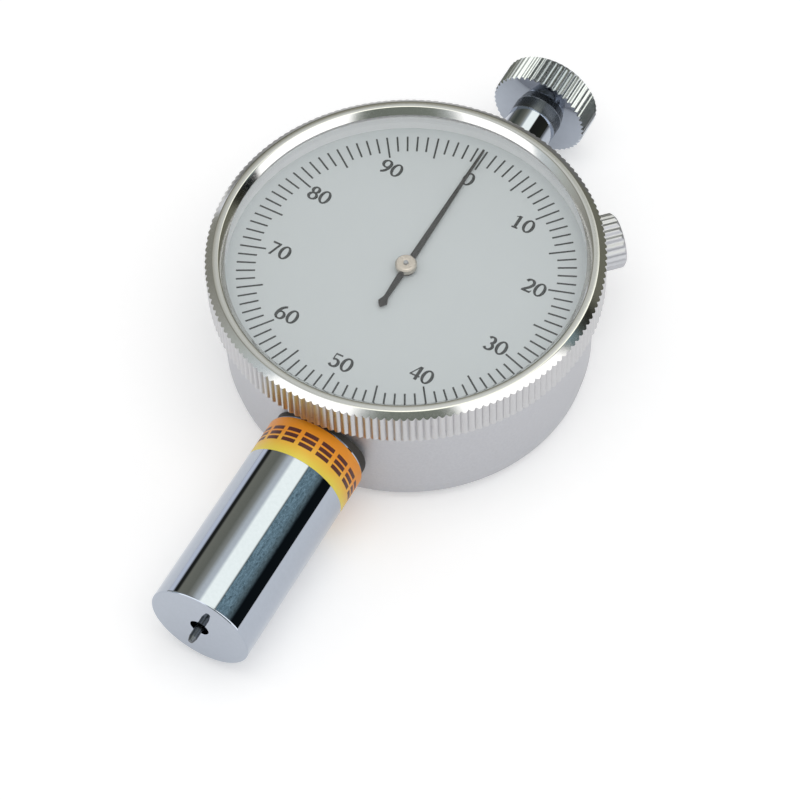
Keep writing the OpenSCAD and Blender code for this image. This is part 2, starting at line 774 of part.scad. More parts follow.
module dial_spacer() {
    color("#D5DADB") ring(inner_r, inner_r - spacer_wall, dial_z, crystal_z);
}

module dial_plate() {
    color("#BFC6C7") ring(inner_r, arbor_r + dial_hole_gap, dial_z - dial_t, dial_z);
}

module dial_carrier() {
    color("#A8ABAE") difference() {
        union() {
            post(inner_r, carrier_z, carrier_z + carrier_flange_t);
            post(spigot_r, carrier_z - spigot_h, carrier_z + eps);
        }
        post(spigot_r - spigot_wall, carrier_z - spigot_h - eps, carrier_z + carrier_flange_t + eps);
        rotate_extrude() translate([case_bore_r, ring_z]) circle(ring_wire_r + 2 * run_gap);
    }
}

module bezel_retaining_ring() {
    start = 90 - clamp_deg + ring_gap_deg / 2;
    color(steel) rotate([0, 0, start]) rotate_extrude(angle = 360 - ring_gap_deg)
        translate([case_bore_r, ring_z]) circle(ring_wire_r);
}

// Points along an elliptical arc
function arc(centre, r, from, to, steps) = [
    for (i = [0 : steps]) let (a = from + (to - from) * i / steps)
        [centre.x + r.x * cos(a), centre.y + r.y * sin(a)]
];

// Strokes of the numbers, for a number one unit high: thick where they run up or down, thin across
thick = 0.2;
thin = 0.11;

function stroke(path) =
    let (last = len(path) - 1,
        way = [for (i = [0 : last]) let (d = path[min(i + 1, last)] - path[max(i - 1, 0)]) d / norm(d)],
        half = [for (d = way) (thin + (thick - thin) * abs(d.y)) / 2 * [-d.y, d.x]])
    concat([for (i = [0 : last]) path[i] + half[i]], [for (i = [last : -1 : 0]) path[i] - half[i]]);

module bowl(centre, r) {
    difference() {
        polygon(arc(centre, r + [thick, thin] / 2, 0, 345, 23));
        polygon(arc(centre, r - [thick, thin] / 2, 0, 345, 23));
    }
}

module bar(left, right, low, high) {
    translate([left, low]) square([right - left, high - low]);
}

module digit(d) {
    if (d == 0) bowl([0, 0], [0.27, 0.46]);
    if (d == 1) {
        bar(-thick / 2, thick / 2, -0.5, 0.5);
        bar(-0.2, 0.2, -0.5, -0.5 + thin);
        polygon([[0, 0.5], [-0.24, 0.38], [-0.24, 0.33], [0, 0.4]]);
    }
    if (d == 2) {
        polygon(stroke(concat(arc([0, 0.2], [0.24, 0.26], 165, -25, 10), [[0.1, -0.1], [-0.24, -0.44]])));
        polygon([[-0.3, -0.5], [0.27, -0.5], [0.32, -0.27], [0.28, -0.27], [0.22, -0.37], [-0.3, -0.37]]);
    }
    if (d == 3) {
        polygon(stroke(arc([-0.02, 0.24], [0.21, 0.23], 150, -88, 10)));
        polygon(stroke(arc([-0.02, -0.22], [0.25, 0.25], 88, -150, 12)));
    }
    if (d == 4) {
        bar(0.05, 0.05 + thick, -0.5, 0.5);
        bar(-0.32, 0.34, -0.26, -0.16);
        polygon([[0.06, 0.5], [0.14, 0.5], [-0.23, -0.2], [-0.32, -0.2]]);
    }
    if (d == 5) {
        bar(-0.2, 0.25, 0.39, 0.5);
        bar(-0.22, -0.15, 0.02, 0.46);
        polygon(stroke(arc([-0.03, -0.19], [0.26, 0.28], 130, -150, 12)));
    }
    if (d == 6) {
        bowl([0, -0.2], [0.25, 0.27]);
        polygon(stroke(arc([0.25, -0.2], [0.5, 0.69], 180, 100, 8)));
    }
    if (d == 7) {
        bar(-0.28, 0.28, 0.37, 0.5);
        polygon([[0.14, 0.4], [0.28, 0.4], [0, -0.5], [-0.15, -0.5]]);
    }
    if (d == 8) {
        bowl([0, 0.25], [0.2, 0.22]);
        bowl([0, -0.23], [0.25, 0.24]);
    }
    if (d == 9) rotate(180) digit(6);
}

module dial_print() {
    marks = 100;
    spread = 0.37;
    number_r = tick_r - tick_long - number_gap;
    color("#2E3333") translate([0, 0, dial_z]) rotate([0, 0, -dial_turn]) {
        for (k = [0 : marks - 1]) {
            long = k % 5 == 0 ? tick_long : tick_short;
            rotate([0, 0, -360 * k / marks]) translate([-tick_w / 2, tick_r - long, 0])
                cube([tick_w, long, print_t]);
        }
        for (tens = [0 : 9]) translate([number_r * sin(36 * tens), number_r * cos(36 * tens), 0]) {
            shift = tens == 0 ? 0 : spread * number_h;
            translate([shift, 0, 0]) linear_extrude(print_t) scale(number_h) digit(0);
            if (tens > 0) translate([-shift, 0, 0]) linear_extrude(print_t) scale(number_h) digit(tens);
        }
    }
}

module clamp_shoe() {
    color(brass) difference() {
        at_clamp() difference() {
            translate([-shoe_w / 2, -shoe_high, shoe_face - 1])
                cube([shoe_w, shoe_high + shoe_low, shoe_t + 1]);
            post(clamp_pin_r + run_gap, shoe_socket, shoe_back + eps);
        }
        post(shoe_face, 0, bezel_top, $fn = 360);
    }
}

module clamp_screw() {
    low = clamp_seat + shoe_gap;
    shoulder = shoe_back + run_gap;
    depth = 0.35;
    edge = 0.5;
    past = 0.3;
    color(chrome) at_clamp() {
        intersection() {
            translate([0, 0, low]) linear_extrude(clamp_head_h)
                polygon(knurl_points(clamp_head_r, depth, clamp_teeth));
            rotate_extrude() polygon([
                [0, low], [clamp_head_r + past, low], [clamp_head_r + past, low + clamp_head_h - edge - past],
                [clamp_head_r - edge, low + clamp_head_h], [0, low + clamp_head_h]]);
        }
        post(clamp_thread_r, shoulder, low + eps);
        post(clamp_pin_r, shoe_socket + run_gap, shoulder + eps);
    }
}

module top_stem() {
    stem_r = stem_d / 2;
    color(chrome) along_y() rotate_extrude() polygon([
        [0, stud_in_y], [stud_r, stud_in_y], [stud_r, seat_y], [stem_r, seat_y], [stem_r, stem_top_y],
        [stud_r, stem_top_y], [stud_r, stem_top_y + stud_out], [0, stem_top_y + stud_out]]);
}

module stem_lock_nut() {
    color(steel) along_y(pad_y - stem_nut_t) hex_nut(stem_nut_r, stud_r + seat_gap, stem_nut_t);
}

module knob() {
    edge = 0.6;
    low_edge = 0.25;
    past = 0.4;
    color(chrome) along_y() difference() {
        union() {
            post(knob_hub_d / 2, knob_y, rim_y + eps);
            intersection() {
                translate([0, 0, rim_y]) linear_extrude(knob_h)
                    polygon(knurl_points(knob_r, knob_knurl, knob_teeth));
                rotate_extrude() polygon([
                    [0, rim_y], [knob_r - low_edge, rim_y], [knob_r + past, rim_y + low_edge + past],
                    [knob_r + past, knob_top_y - edge - past], [knob_r - edge, knob_top_y], [0, knob_top_y]]);
            }
        }
        post(stud_r + run_gap, knob_y - eps, stem_top_y + stud_out + stud_room);
    }
}

case();
back_cover();
back_cover_screws();
barrel();
barrel_neck();
barrel_lock_nut();
label_band();
spring_adjuster();
main_spring();
spindle();
indenter();
spindle_guide_bush();
lower_plate();
lower_plate_screws();
plate_pillars();
upper_plate();
upper_plate_screws();
intermediate_arbor();
intermediate_gear();
centre_arbor();
hairspring_collet();
hairspring();
hairspring_stud();
pointer();
pointer_hub();
bezel();
crystal();
dial_spacer();
dial_plate();
dial_print();
dial_carrier();
bezel_retaining_ring();
clamp_shoe();
clamp_screw();
top_stem();
stem_lock_nut();
knob();
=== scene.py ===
import bpy
import math
from mathutils import Matrix, Vector


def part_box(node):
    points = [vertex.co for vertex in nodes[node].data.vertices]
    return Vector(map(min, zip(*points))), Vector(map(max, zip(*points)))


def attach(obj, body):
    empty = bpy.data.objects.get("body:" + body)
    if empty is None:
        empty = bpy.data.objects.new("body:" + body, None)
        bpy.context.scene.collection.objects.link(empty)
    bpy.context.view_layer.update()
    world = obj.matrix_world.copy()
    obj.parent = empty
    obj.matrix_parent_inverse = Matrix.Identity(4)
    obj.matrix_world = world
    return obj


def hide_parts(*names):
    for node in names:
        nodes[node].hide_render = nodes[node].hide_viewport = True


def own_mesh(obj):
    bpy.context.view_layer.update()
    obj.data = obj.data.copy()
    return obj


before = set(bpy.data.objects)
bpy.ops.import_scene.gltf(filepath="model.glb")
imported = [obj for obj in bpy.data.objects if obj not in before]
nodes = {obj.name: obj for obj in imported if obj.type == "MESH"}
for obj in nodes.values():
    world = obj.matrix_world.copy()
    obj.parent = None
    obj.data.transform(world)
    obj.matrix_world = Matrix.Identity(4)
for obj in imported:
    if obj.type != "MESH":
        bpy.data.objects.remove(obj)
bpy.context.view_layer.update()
mm = 0.001
mergeGap = 0.0005  # in mm, for doubles on a turned piece
wallLean = 0.3  # a wall's normal has less than this along the piece's axis
print("frame loaded,", len(nodes), "CAD nodes")


# Small tools for the modelling

def nodeBox(name):
    low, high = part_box(name)
    return low / mm, high / mm


def deselectAll():
    if bpy.context.object and bpy.context.object.mode != "OBJECT":
        bpy.ops.object.mode_set(mode="OBJECT")
    bpy.ops.object.select_all(action="DESELECT")


def pickOnly(piece):
    deselectAll()
    piece.select_set(True)
    bpy.context.view_layer.objects.active = piece


def pickVerts(piece, test):
    pickOnly(piece)
    mesh = piece.data
    for part in (mesh.polygons, mesh.edges):
        part.foreach_set("select", [False] * len(part))
    mesh.vertices.foreach_set("select", [bool(test(v.co)) for v in mesh.vertices])
    bpy.context.tool_settings.mesh_select_mode = (True, False, False)
    bpy.ops.object.mode_set(mode="EDIT")


# Corner points (radius, height, rounding) to a profile with each rounding drawn in a few steps
def roundCorners(corners, ring, steps=3):
    points = []
    last = len(corners) - 1
    for i, (radius, height, rounding) in enumerate(corners):
        corner = Vector((radius, height))
        if rounding == 0 or (not ring and i in (0, last)):
            points.append(corner)
            continue
        before = Vector(corners[i - 1][:2]) - corner
        after = Vector(corners[(i + 1) % len(corners)][:2]) - corner
        start = corner + before.normalized() * rounding
        end = corner + after.normalized() * rounding
        for k in range(steps + 1):
            t = k / steps
            points.append(start * (1 - t) ** 2 + corner * 2 * t * (1 - t) + end * t * t)
    return points


# A piece turned about Z: a circle, extruded and scaled from one profile point to the next
def turnPiece(name, sides, corners, ring=False):
    profile = roundCorners(corners, ring)
    deselectAll()
    bpy.ops.mesh.primitive_circle_add(vertices=sides, radius=profile[0].x * mm, location=(0, 0, 0))
    piece = bpy.context.active_object
    piece.name = name
    piece.data.name = name
    bpy.ops.object.mode_set(mode="EDIT")
    bpy.ops.mesh.select_all(action="SELECT")
    bpy.ops.transform.translate(value=(0, 0, profile[0].y * mm))
    now = profile[0]
    for point in profile[1:] + (profile[:1] if ring else []):
        rise = (point.y - now.y) * mm
        bpy.ops.mesh.extrude_region_move(TRANSFORM_OT_translate={"value": (0, 0, rise)})
        share = point.x / now.x
        bpy.ops.transform.resize(value=(share, share, 1), center_override=(0, 0, 0))
        now = point
    bpy.ops.mesh.select_all(action="SELECT")
    bpy.ops.mesh.remove_doubles(threshold=mergeGap * mm)
    bpy.ops.mesh.fill_holes(sides=0)
    bpy.ops.mesh.select_all(action="SELECT")
    bpy.ops.mesh.normals_make_consistent(inside=False)
    bpy.ops.object.mode_set(mode="OBJECT")
    return piece


# Straight knurl on a turned piece: each vertex of a tooth is scaled inwards by its share of the depth
def cutKnurl(piece, teeth, depth, shares, radius, low, high, topSlope=0, lowSlope=0):
    sides = len(shares) * teeth
    near = 0.02  # mm

    def phase(co):
        return round(math.atan2(co.x, co.y) / (2 * math.pi) * sides) % len(shares)

    def onRim(co):
        return abs(math.hypot(co.x, co.y) / mm - radius) < near and low - near < co.z / mm < high + near

    for share in sorted(set(shares) - {0}):
        cut = depth * share
        phases = [i for i in range(len(shares)) if shares[i] == share]
        for slope, level in ((topSlope, high), (-lowSlope, low)):
            if slope:
                pickVerts(piece, lambda co: onRim(co) and abs(co.z / mm - level) < near and phase(co) in phases)
                bpy.ops.transform.translate(value=(0, 0, cut * slope * mm))
                bpy.ops.object.mode_set(mode="OBJECT")
        pickVerts(piece, lambda co: abs(math.hypot(co.x, co.y) / mm - radius) < near and phase(co) in phases)
        shrink = (radius - cut) / radius
        bpy.ops.transform.resize(value=(shrink, shrink, 1), center_override=(0, 0, 0))
        bpy.ops.object.mode_set(mode="OBJECT")


# Smooth shading up to an angle, with the large faces' normals kept so flats and tubes mirror cleanly
def smoothPiece(piece, degrees=32):
    pickOnly(piece)
    bpy.ops.object.shade_smooth_by_angle(angle=math.radians(degrees))
    weighted = piece.modifiers.new("weighted", "WEIGHTED_NORMAL")
    weighted.keep_sharp = True
    bpy.ops.object.modifier_apply(modifier=weighted.name)


# Lays a piece turned about Z along +Y, turned clockwise about Z, at a height
def layAlong(piece, height, clockwise=0):
    pickOnly(piece)
    piece.rotation_euler = (-math.pi / 2, 0, -math.radians(clockwise))
    piece.location = (0, 0, height * mm)
    bpy.ops.object.transform_apply(location=True, rotation=True, scale=True)


def joinPad(piece, pad):
    pickOnly(piece)
    union = piece.modifiers.new("pad", "BOOLEAN")
    union.operation = "UNION"
    union.object = pad
    bpy.ops.object.modifier_apply(modifier=union.name)
    pickOnly(pad)
    bpy.ops.object.delete()


def dress(piece, body, replaced, slotName, *finishes):
    piece.data.materials.clear()
    for finish in finishes:
        piece.data.materials.append(finish)
    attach(piece, body)
    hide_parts(replaced)


# Small tools for the materials

def toLinear(hexColour):
    parts = [int(hexColour[i:i + 2], 16) / 255 for i in (1, 3, 5)]
    return tuple(p / 12.92 if p <= 0.04045 else ((p + 0.055) / 1.055) ** 2.4 for p in parts) + (1,)


def addNode(tree, kind, settings=None, inputs=None):
    node = tree.nodes.new(kind)
    for name, value in (settings or {}).items():
        setattr(node, name, value)
    for socket, value in (inputs or {}).items():
        if isinstance(value, bpy.types.NodeSocket):
            tree.links.new(value, node.inputs[socket])
        else:
            node.inputs[socket].default_value = value
    return node


def newFinish(name, colour, metallic, roughness):
    finish = bpy.data.materials.new(name)
    finish.use_nodes = True
    tree = finish.node_tree
    shader = tree.nodes["Principled BSDF"]
    shader.inputs["Base Color"].default_value = toLinear(colour)
    shader.inputs["Metallic"].default_value = metallic
    shader.inputs["Roughness"].default_value = roughness
    return finish, tree, shader


# Grain on a finish: noise of a size in mm into colour, roughness and bump
grainSizes = {"detail": 3, "roughness": 0.6, "span": (0.25, 0.75)}


def addGrain(tree, shader, colours, roughs, sizeMm, bumpMm, stretch=(1, 1, 1)):
    coords = addNode(tree, "ShaderNodeTexCoord")
    mapping = addNode(tree, "ShaderNodeMapping", inputs={"Vector": coords.outputs["Object"], "Scale": stretch})
    noise = addNode(tree, "ShaderNodeTexNoise",
                    inputs={"Vector": mapping.outputs[0], "Scale": 1 / (sizeMm * mm),
                            "Detail": grainSizes["detail"], "Roughness": grainSizes["roughness"]})
    mix = addNode(tree, "ShaderNodeMix", {"data_type": "RGBA"},
                  {0: noise.outputs[0], 6: toLinear(colours[0]), 7: toLinear(colours[1])})
    tree.links.new(mix.outputs[2], shader.inputs["Base Color"])
    low, high = grainSizes["span"]
    rough = addNode(tree, "ShaderNodeMapRange", inputs={
        "Value": noise.outputs[0], 1: low, 2: high, 3: roughs[0], 4: roughs[1]})
    tree.links.new(rough.outputs[0], shader.inputs["Roughness"])
    bump = addNode(tree, "ShaderNodeBump", inputs={
        "Strength": 1, "Distance": bumpMm * mm, "Height": noise.outputs[0]})
    tree.links.new(bump.outputs[0], shader.inputs["Normal"])


# Finishes, each from what the real one is

# Die-cast zinc, blasted and satin chromed: even pale grey with a fine grain
satinChrome, tree, shader = newFinish("satinChromedZinc", "#BDBEC3", 1, 0.42)
addGrain(tree, shader, ("#B1B2B7", "#C9CACE"), (0.36, 0.48), 0.4, 0.006)

# Seat of the barrel on the case: dull dark metal, painted shade for the shade beside the barrel under the bezel
shadedSeat, tree, shader = newFinish("paintedShadeSeat", "#4A4844", 1, 0.6)
addGrain(tree, shader, ("#3C3A37", "#575450"), (0.5, 0.7), 0.5, 0.004)

# Polished chrome plate of the knob's ends: a mirror, a little blurred and wavy from polishing
brightChrome, tree, shader = newFinish("polishedChromePlate", "#ACB3BE", 1, 0.05)
addGrain(tree, shader, ("#A8AFBA", "#B0B7C2"), (0.04, 0.08), 1.2, 0.0006, (1, 0.25, 1))

# Chrome plate of barrel and stem: a clean mirror with a slight waviness
mirrorChrome, tree, shader = newFinish("mirrorChromePlate", "#ACB3BE", 1, 0.006)
addGrain(tree, shader, ("#A8AFBA", "#B0B7C2"), (0.004, 0.008), 0.6, 0.0002)

# Turned and polished bezel faces: bright chrome, a little blurred by fine tool marks
turnedChrome, tree, shader = newFinish("turnedChromeRim", "#CFCFCD", 1, 0.12)
addGrain(tree, shader, ("#CACAC8", "#D4D4D2"), (0.10, 0.16), 0.5, 0.0008)

# Rolled straight knurl in satin chrome: a soft sheen along each ridge
knurlChrome, tree, shader = newFinish("knurledSatinChrome", "#C4C4C6", 1, 0.3)
addGrain(tree, shader, ("#BDBDC0", "#CBCBCC"), (0.26, 0.36), 0.4, 0.0008)

# Pressed ribs of the knob in chrome: brighter and sharper than the bezel's knurl
ribChrome, tree, shader = newFinish("pressedRibChrome", "#D2D7DC", 1, 0.23)
addGrain(tree, shader, ("#CCD1D7", "#D8DDE2"), (0.2, 0.27), 0.4, 0.0008)

# Hardened needle steel, ground: dark, with a streaky shine. On the knob's hub wall the same dark finish is
# painted shade, standing in for the dark reflection there
needleSteelAndHubShade, tree, shader = newFinish("groundNeedleSteelAndHubShade", "#55595D", 1, 0.25)
addGrain(tree, shader, ("#4A4E52", "#62666A"), (0.2, 0.34), 0.12, 0.0006, (1, 0.2, 1))

# Turned machine steel of screws, nuts, arbors and spindle: mid grey with a soft shine
machineSteel, tree, shader = newFinish("turnedMachineSteel", "#9A9DA0", 1, 0.3)
addGrain(tree, shader, ("#8E9194", "#A6A9AB"), (0.24, 0.36), 0.2, 0.001)

# Drawn spring wire: greyer and smoother than the turned steel
springWire, tree, shader = newFinish("drawnSpringWire", "#7E8285", 1, 0.25)
addGrain(tree, shader, ("#74787B", "#8A8E91"), (0.2, 0.3), 0.15, 0.0006)

# Hairspring steel, tempered: deep blue and glossy
bluedSteel, tree, shader = newFinish("bluedHairspring", "#3F5C8C", 1, 0.22)
addGrain(tree, shader, ("#36507E", "#4A6A9C"), (0.18, 0.28), 0.2, 0.0004)

# Rolled clock brass with a faint grain along its length
clockBrass, tree, shader = newFinish("rolledClockBrass", "#C79A4B", 1, 0.28)
addGrain(tree, shader, ("#BC8F42", "#D2A658"), (0.22, 0.36), 0.4, 0.001, (1, 0.2, 1))

# Nickel-plated hub cap: warm white metal
warmNickel, tree, shader = newFinish("nickelPlatedHub", "#C0B8AB", 1, 0.2)
addGrain(tree, shader, ("#B2A99B", "#CFC8BC"), (0.16, 0.26), 0.25, 0.002)

# Sprayed dial lacquer: pale blue-grey, eggshell, with a very fine speckle
dialLacquer, tree, shader = newFinish("sprayedDialLacquer", "#C3CACB", 0, 0.45)
addGrain(tree, shader, ("#BFC6C7", "#C6CDCE"), (0.42, 0.5), 0.3, 0.0008)

# Pad-printed ink: near black, a little uneven
dialInk, tree, shader = newFinish("padPrintedInk", "#222728", 0, 0.6)
addGrain(tree, shader, ("#1D2223", "#2B3132"), (0.55, 0.7), 0.15, 0.0004)
shader.inputs["Specular IOR Level"].default_value = 0.2

# Sprayed lacquer of the spacer ring: whiter and a little glossier than the dial
spacerLacquer, tree, shader = newFinish("whiteSpacerLacquer", "#EDEFF1", 0, 0.4)
addGrain(tree, shader, ("#EAECEE", "#F1F3F4"), (0.36, 0.46), 0.4, 0.0008)

# Pointer, stamped steel in black enamel: near black with a weak sheen
blackEnamel, tree, shader = newFinish("blackPointerEnamel", "#131413", 0, 0.5)
addGrain(tree, shader, ("#101110", "#191A19"), (0.45, 0.6), 0.25, 0.0006)
shader.inputs["Specular IOR Level"].default_value = 0.25

# Crystal: clear acrylic, which lets the lamps' light through to the dial
clearAcrylic, tree, shader = newFinish("clearAcrylic", "#FFFFFF", 0, 0.0)
shader.inputs["IOR"].default_value = 1.49
shader.inputs["Transmission Weight"].default_value = 1
shader.inputs["Specular IOR Level"].default_value = 0.05  # the photo's crystal hardly reflects
path = addNode(tree, "ShaderNodeLightPath")
clear = addNode(tree, "ShaderNodeBsdfTransparent")
lit = addNode(tree, "ShaderNodeMixShader", inputs={
    0: path.outputs["Is Diffuse Ray"], 1: shader.outputs[0], 2: clear.outputs[0]})
pane = addNode(tree, "ShaderNodeMixShader", inputs={
    0: path.outputs["Is Shadow Ray"], 1: lit.outputs[0], 2: clear.outputs[0]})
tree.links.new(pane.outputs[0], tree.nodes["Material Output"].inputs["Surface"])
print("finishes made,", len(bpy.data.materials), "materials")


# Case: a cup with three pads, open at the top for the dial
caseSizes = {"corner": 4, "wallTop": 0.25, "bore": 26, "floor": 3.4, "recess": 22.03, "recessDeep": 1.6,
             "barrelPad": 7.5, "stemPad": 4.9, "clampPad": 3.2, "clampPadOut": 29.0, "clampHeight": 14.3,
             "clampTurn": 45, "padInto": 1, "sides": 192, "padSides": 96, "near": 0.1}
bezelLow, bezelHigh = nodeBox("bezel")
barrelLow, barrelHigh = nodeBox("barrel")
caseLow, caseHigh = nodeBox("case")
stemLow, stemHigh = nodeBox("top_stem")
axisHeight = (barrelLow.z + barrelHigh.z) / 2
caseRadius = -caseLow.x
s = caseSizes
caseBody = turnPiece("caseBody", s["sides"], [
    (s["recess"], s["recessDeep"], 0), (s["recess"], 0, 0), (caseRadius, 0, s["corner"]),
    (caseRadius, caseHigh.z, s["wallTop"]), (s["bore"], caseHigh.z, s["wallTop"]), (s["bore"], s["floor"], 0)])
seat = caseHigh.y
for padName, padRadius, padLow, padHigh, height, turn in (
        ("barrelPad", s["barrelPad"], -seat, -s["bore"] - s["padInto"], axisHeight, 0),
        ("stemPad", s["stemPad"], s["bore"] + s["padInto"], seat, axisHeight, 0),
        ("clampPad", s["clampPad"], s["bore"] + s["padInto"], s["clampPadOut"], s["clampHeight"],
         s["clampTurn"])):
    pad = turnPiece(padName, s["padSides"], [(padRadius, padLow, 0), (padRadius, padHigh, 0)])
    layAlong(pad, height, turn)
    joinPad(caseBody, pad)
smoothPiece(caseBody)
# The seat faces get the dark finish: painted shade
seatFaces = []  # the round wall of the barrel's pad
for face in caseBody.data.polygons:
    centre = face.center / mm
    fromAxis = math.hypot(centre.x, centre.z - axisHeight)
    onPad = centre.y < -s["bore"] and abs(fromAxis - s["barrelPad"]) < s["near"]
    seatFaces.append(int(onPad and abs(face.normal.y) < wallLean))
dress(caseBody, "case", "case", "case_alloy", satinChrome, shadedSeat)
caseBody.data.polygons.foreach_set("material_index", seatFaces)
print("case made")


# Bezel: knurled rim, outer chamfer, land, inner bevel and the lip over the crystal
bezelSizes = {"teeth": 168, "knurlDeep": 0.3, "chamferHigh": 0.85, "chamferWide": 1.12, "land": 1.0,
              "bevelWide": 0.88, "bevelDeep": 1.0, "lip": 1.25, "lipBack": 0.2, "lipEdge": 0.05, "bore": 27.75,
              "edge": 0.12, "near": 0.05, "tooth": (0, 0.08, 0.55, 1, 0.55, 0.08)}
s = bezelSizes
rim = bezelHigh.x
top = bezelHigh.z
landOut = rim - s["chamferWide"]
landIn = landOut - s["land"]
opening = landIn - s["bevelWide"]
bezelRing = turnPiece("bezelRing", len(s["tooth"]) * s["teeth"], [
    (rim, bezelLow.z, 0), (rim, top - s["chamferHigh"], 0), (landOut, top, s["edge"]), (landIn, top, s["edge"]),
    (opening, top - s["bevelDeep"], s["lipEdge"]), (opening + s["lipBack"], top - s["lip"], 0),
    (s["bore"], top - s["lip"], 0), (s["bore"], bezelLow.z, 0)], ring=True)
cutKnurl(bezelRing, s["teeth"], s["knurlDeep"], s["tooth"], rim, bezelLow.z, top - s["chamferHigh"],
         topSlope=s["chamferHigh"] / s["chamferWide"])
smoothPiece(bezelRing)
knurlFaces = []
for face in bezelRing.data.polygons:
    fromAxis = math.hypot(face.center.x, face.center.y) / mm
    onRim = fromAxis > rim - s["knurlDeep"] - s["near"]
    knurlFaces.append(int(onRim and abs(face.normal.z) < wallLean))
dress(bezelRing, "bezel", "bezel", "bezel_chrome", turnedChrome, knurlChrome)
bezelRing.data.polygons.foreach_set("material_index", knurlFaces)
print("bezel made")


# Crystal and the spacer ring under it
crystalSizes = {"rim": 0.5, "edge": 0.08, "sides": 192}
s = crystalSizes
crystalLow, crystalHigh = nodeBox("crystal")
crystalDisc = turnPiece("crystalDisc", s["sides"], [
    (crystalHigh.x - s["rim"], crystalLow.z, 0), (crystalHigh.x, crystalLow.z, s["edge"]),
    (crystalHigh.x, crystalHigh.z, s["edge"]), (crystalHigh.x - s["rim"], crystalHigh.z, 0)])
smoothPiece(crystalDisc)
dress(crystalDisc, "bezel", "crystal", "crystal_clear", clearAcrylic)

spacerSizes = {"wall": 0.45, "edge": 0.05, "sides": 192}
spacerLow, spacerHigh = nodeBox("dial_spacer")
s = spacerSizes
spacerRing = turnPiece("spacerRing", s["sides"], [
    (spacerHigh.x, spacerLow.z, s["edge"]), (spacerHigh.x, spacerHigh.z, s["edge"]),
    (spacerHigh.x - s["wall"], spacerHigh.z, s["edge"]), (spacerHigh.x - s["wall"], spacerLow.z, s["edge"])],
    ring=True)
smoothPiece(spacerRing)
dress(spacerRing, "bezel", "dial_spacer", "spacer_white", spacerLacquer)
print("crystal and spacer made")


# Pointer hub: a flat nickel cap with the arbor's end in it
hubLow, hubHigh = nodeBox("pointer_hub")
hubSizes = {"hole": 0.38, "chamfer": 0.3, "edge": 0.06, "dish": 0.06, "dishOut": 0.75, "dishEdge": 0.05,
            "sides": 96, "smooth": 40}
s = hubSizes
hubRadius = hubHigh.x
hubCap = turnPiece("hubCap", s["sides"], [
    (s["hole"], hubLow.z, 0), (hubRadius, hubLow.z, s["edge"]), (hubRadius, hubHigh.z - s["chamfer"], s["edge"]),
    (hubRadius - s["chamfer"], hubHigh.z, s["edge"]), (s["dishOut"], hubHigh.z, s["dishEdge"]),
    (s["hole"], hubHigh.z - s["dish"], 0)], ring=True)
smoothPiece(hubCap, s["smooth"])
dress(hubCap, "pointer", "pointer_hub", "hub_nickel", warmNickel)
print("hub made")


# Barrel: a turned tube with its foot
barrelSizes = {"foot": 2.3, "hole": 1.5, "footEdge": 0.3, "bore": 5.5, "labelSunk": 0.2, "labelSeat": 6.7,
               "holeEdge": 0.1, "seatEdge": 0.03, "topEdge": 0.05, "sides": 192}
s = barrelSizes
barrelRadius = barrelHigh.x
foot = barrelLow.y
barrelTop = barrelHigh.y
barrelTube = turnPiece("barrelTube", s["sides"], [
    (s["hole"], foot, s["holeEdge"]), (barrelRadius, foot, s["footEdge"]),
    (barrelRadius, barrelTop - s["labelSeat"], s["seatEdge"]),
    (barrelRadius - s["labelSunk"], barrelTop - s["labelSeat"], 0),
    (barrelRadius - s["labelSunk"], barrelTop, s["topEdge"]), (s["bore"], barrelTop, s["holeEdge"]),
    (s["bore"], foot + s["foot"], 0), (s["hole"], foot + s["foot"], 0)], ring=True)
layAlong(barrelTube, axisHeight)
smoothPiece(barrelTube)
dress(barrelTube, "case", "barrel", "chrome_plate", mirrorChrome)

labelLow, labelHigh = nodeBox("label_band")
labelSizes = {"thick": 0.12, "edge": 0.02, "sides": 192}
s = labelSizes
labelRing = turnPiece("labelRing", s["sides"], [
    (labelHigh.x, labelLow.y, s["edge"]), (labelHigh.x, labelHigh.y, s["edge"]),
    (labelHigh.x - s["thick"], labelHigh.y, 0), (labelHigh.x - s["thick"], labelLow.y, 0)], ring=True)
layAlong(labelRing, axisHeight)
smoothPiece(labelRing)

# Printed foil label: yellow at the foot's side, orange at the case, with a row of plain printed blocks
labelPrint = {"yellow": "#E9D550", "orange": "#EF951F", "ink": "#4E1A10", "rowMiddle": 3.4, "rowHigh": 2.6,
              "blocks": 17, "blockShare": 0.76, "bars": 3, "barShare": 0.68, "fade": 0.6, "cloud": 2.5,
              "cloudShare": 0.3}
p = labelPrint
foilLabel, tree, shader = newFinish("printedFoilLabel", p["yellow"], 0, 0.38)
coords = addNode(tree, "ShaderNodeTexCoord")
mapping = addNode(tree, "ShaderNodeMapping", inputs={
    "Vector": coords.outputs["Object"], "Location": (0, -labelLow.y * mm, -axisHeight * mm)})
axes = addNode(tree, "ShaderNodeSeparateXYZ", inputs={0: mapping.outputs[0]})
along = addNode(tree, "ShaderNodeMapRange", inputs={
    "Value": axes.outputs[1], 1: 0.0, 2: p["fade"] * (labelHigh.y - labelLow.y) * mm, 3: 0.0, 4: 1.0})
soft = addNode(tree, "ShaderNodeTexNoise", inputs={
    "Vector": mapping.outputs[0], "Scale": 1 / (p["cloud"] * mm), "Detail": 2})
shift = addNode(tree, "ShaderNodeMath", {"operation": "MULTIPLY_ADD"}, {
    0: soft.outputs[0], 1: p["cloudShare"], 2: -p["cloudShare"] / 2})
fade = addNode(tree, "ShaderNodeMath", {"operation": "ADD"}, {0: along.outputs[0], 1: shift.outputs[0]})
paper = addNode(tree, "ShaderNodeMix", {"data_type": "RGBA"}, {
    0: fade.outputs[0], 6: toLinear(p["yellow"]), 7: toLinear(p["orange"])})
turn = addNode(tree, "ShaderNodeMath", {"operation": "ARCTAN2"}, {0: axes.outputs[0], 1: axes.outputs[2]})
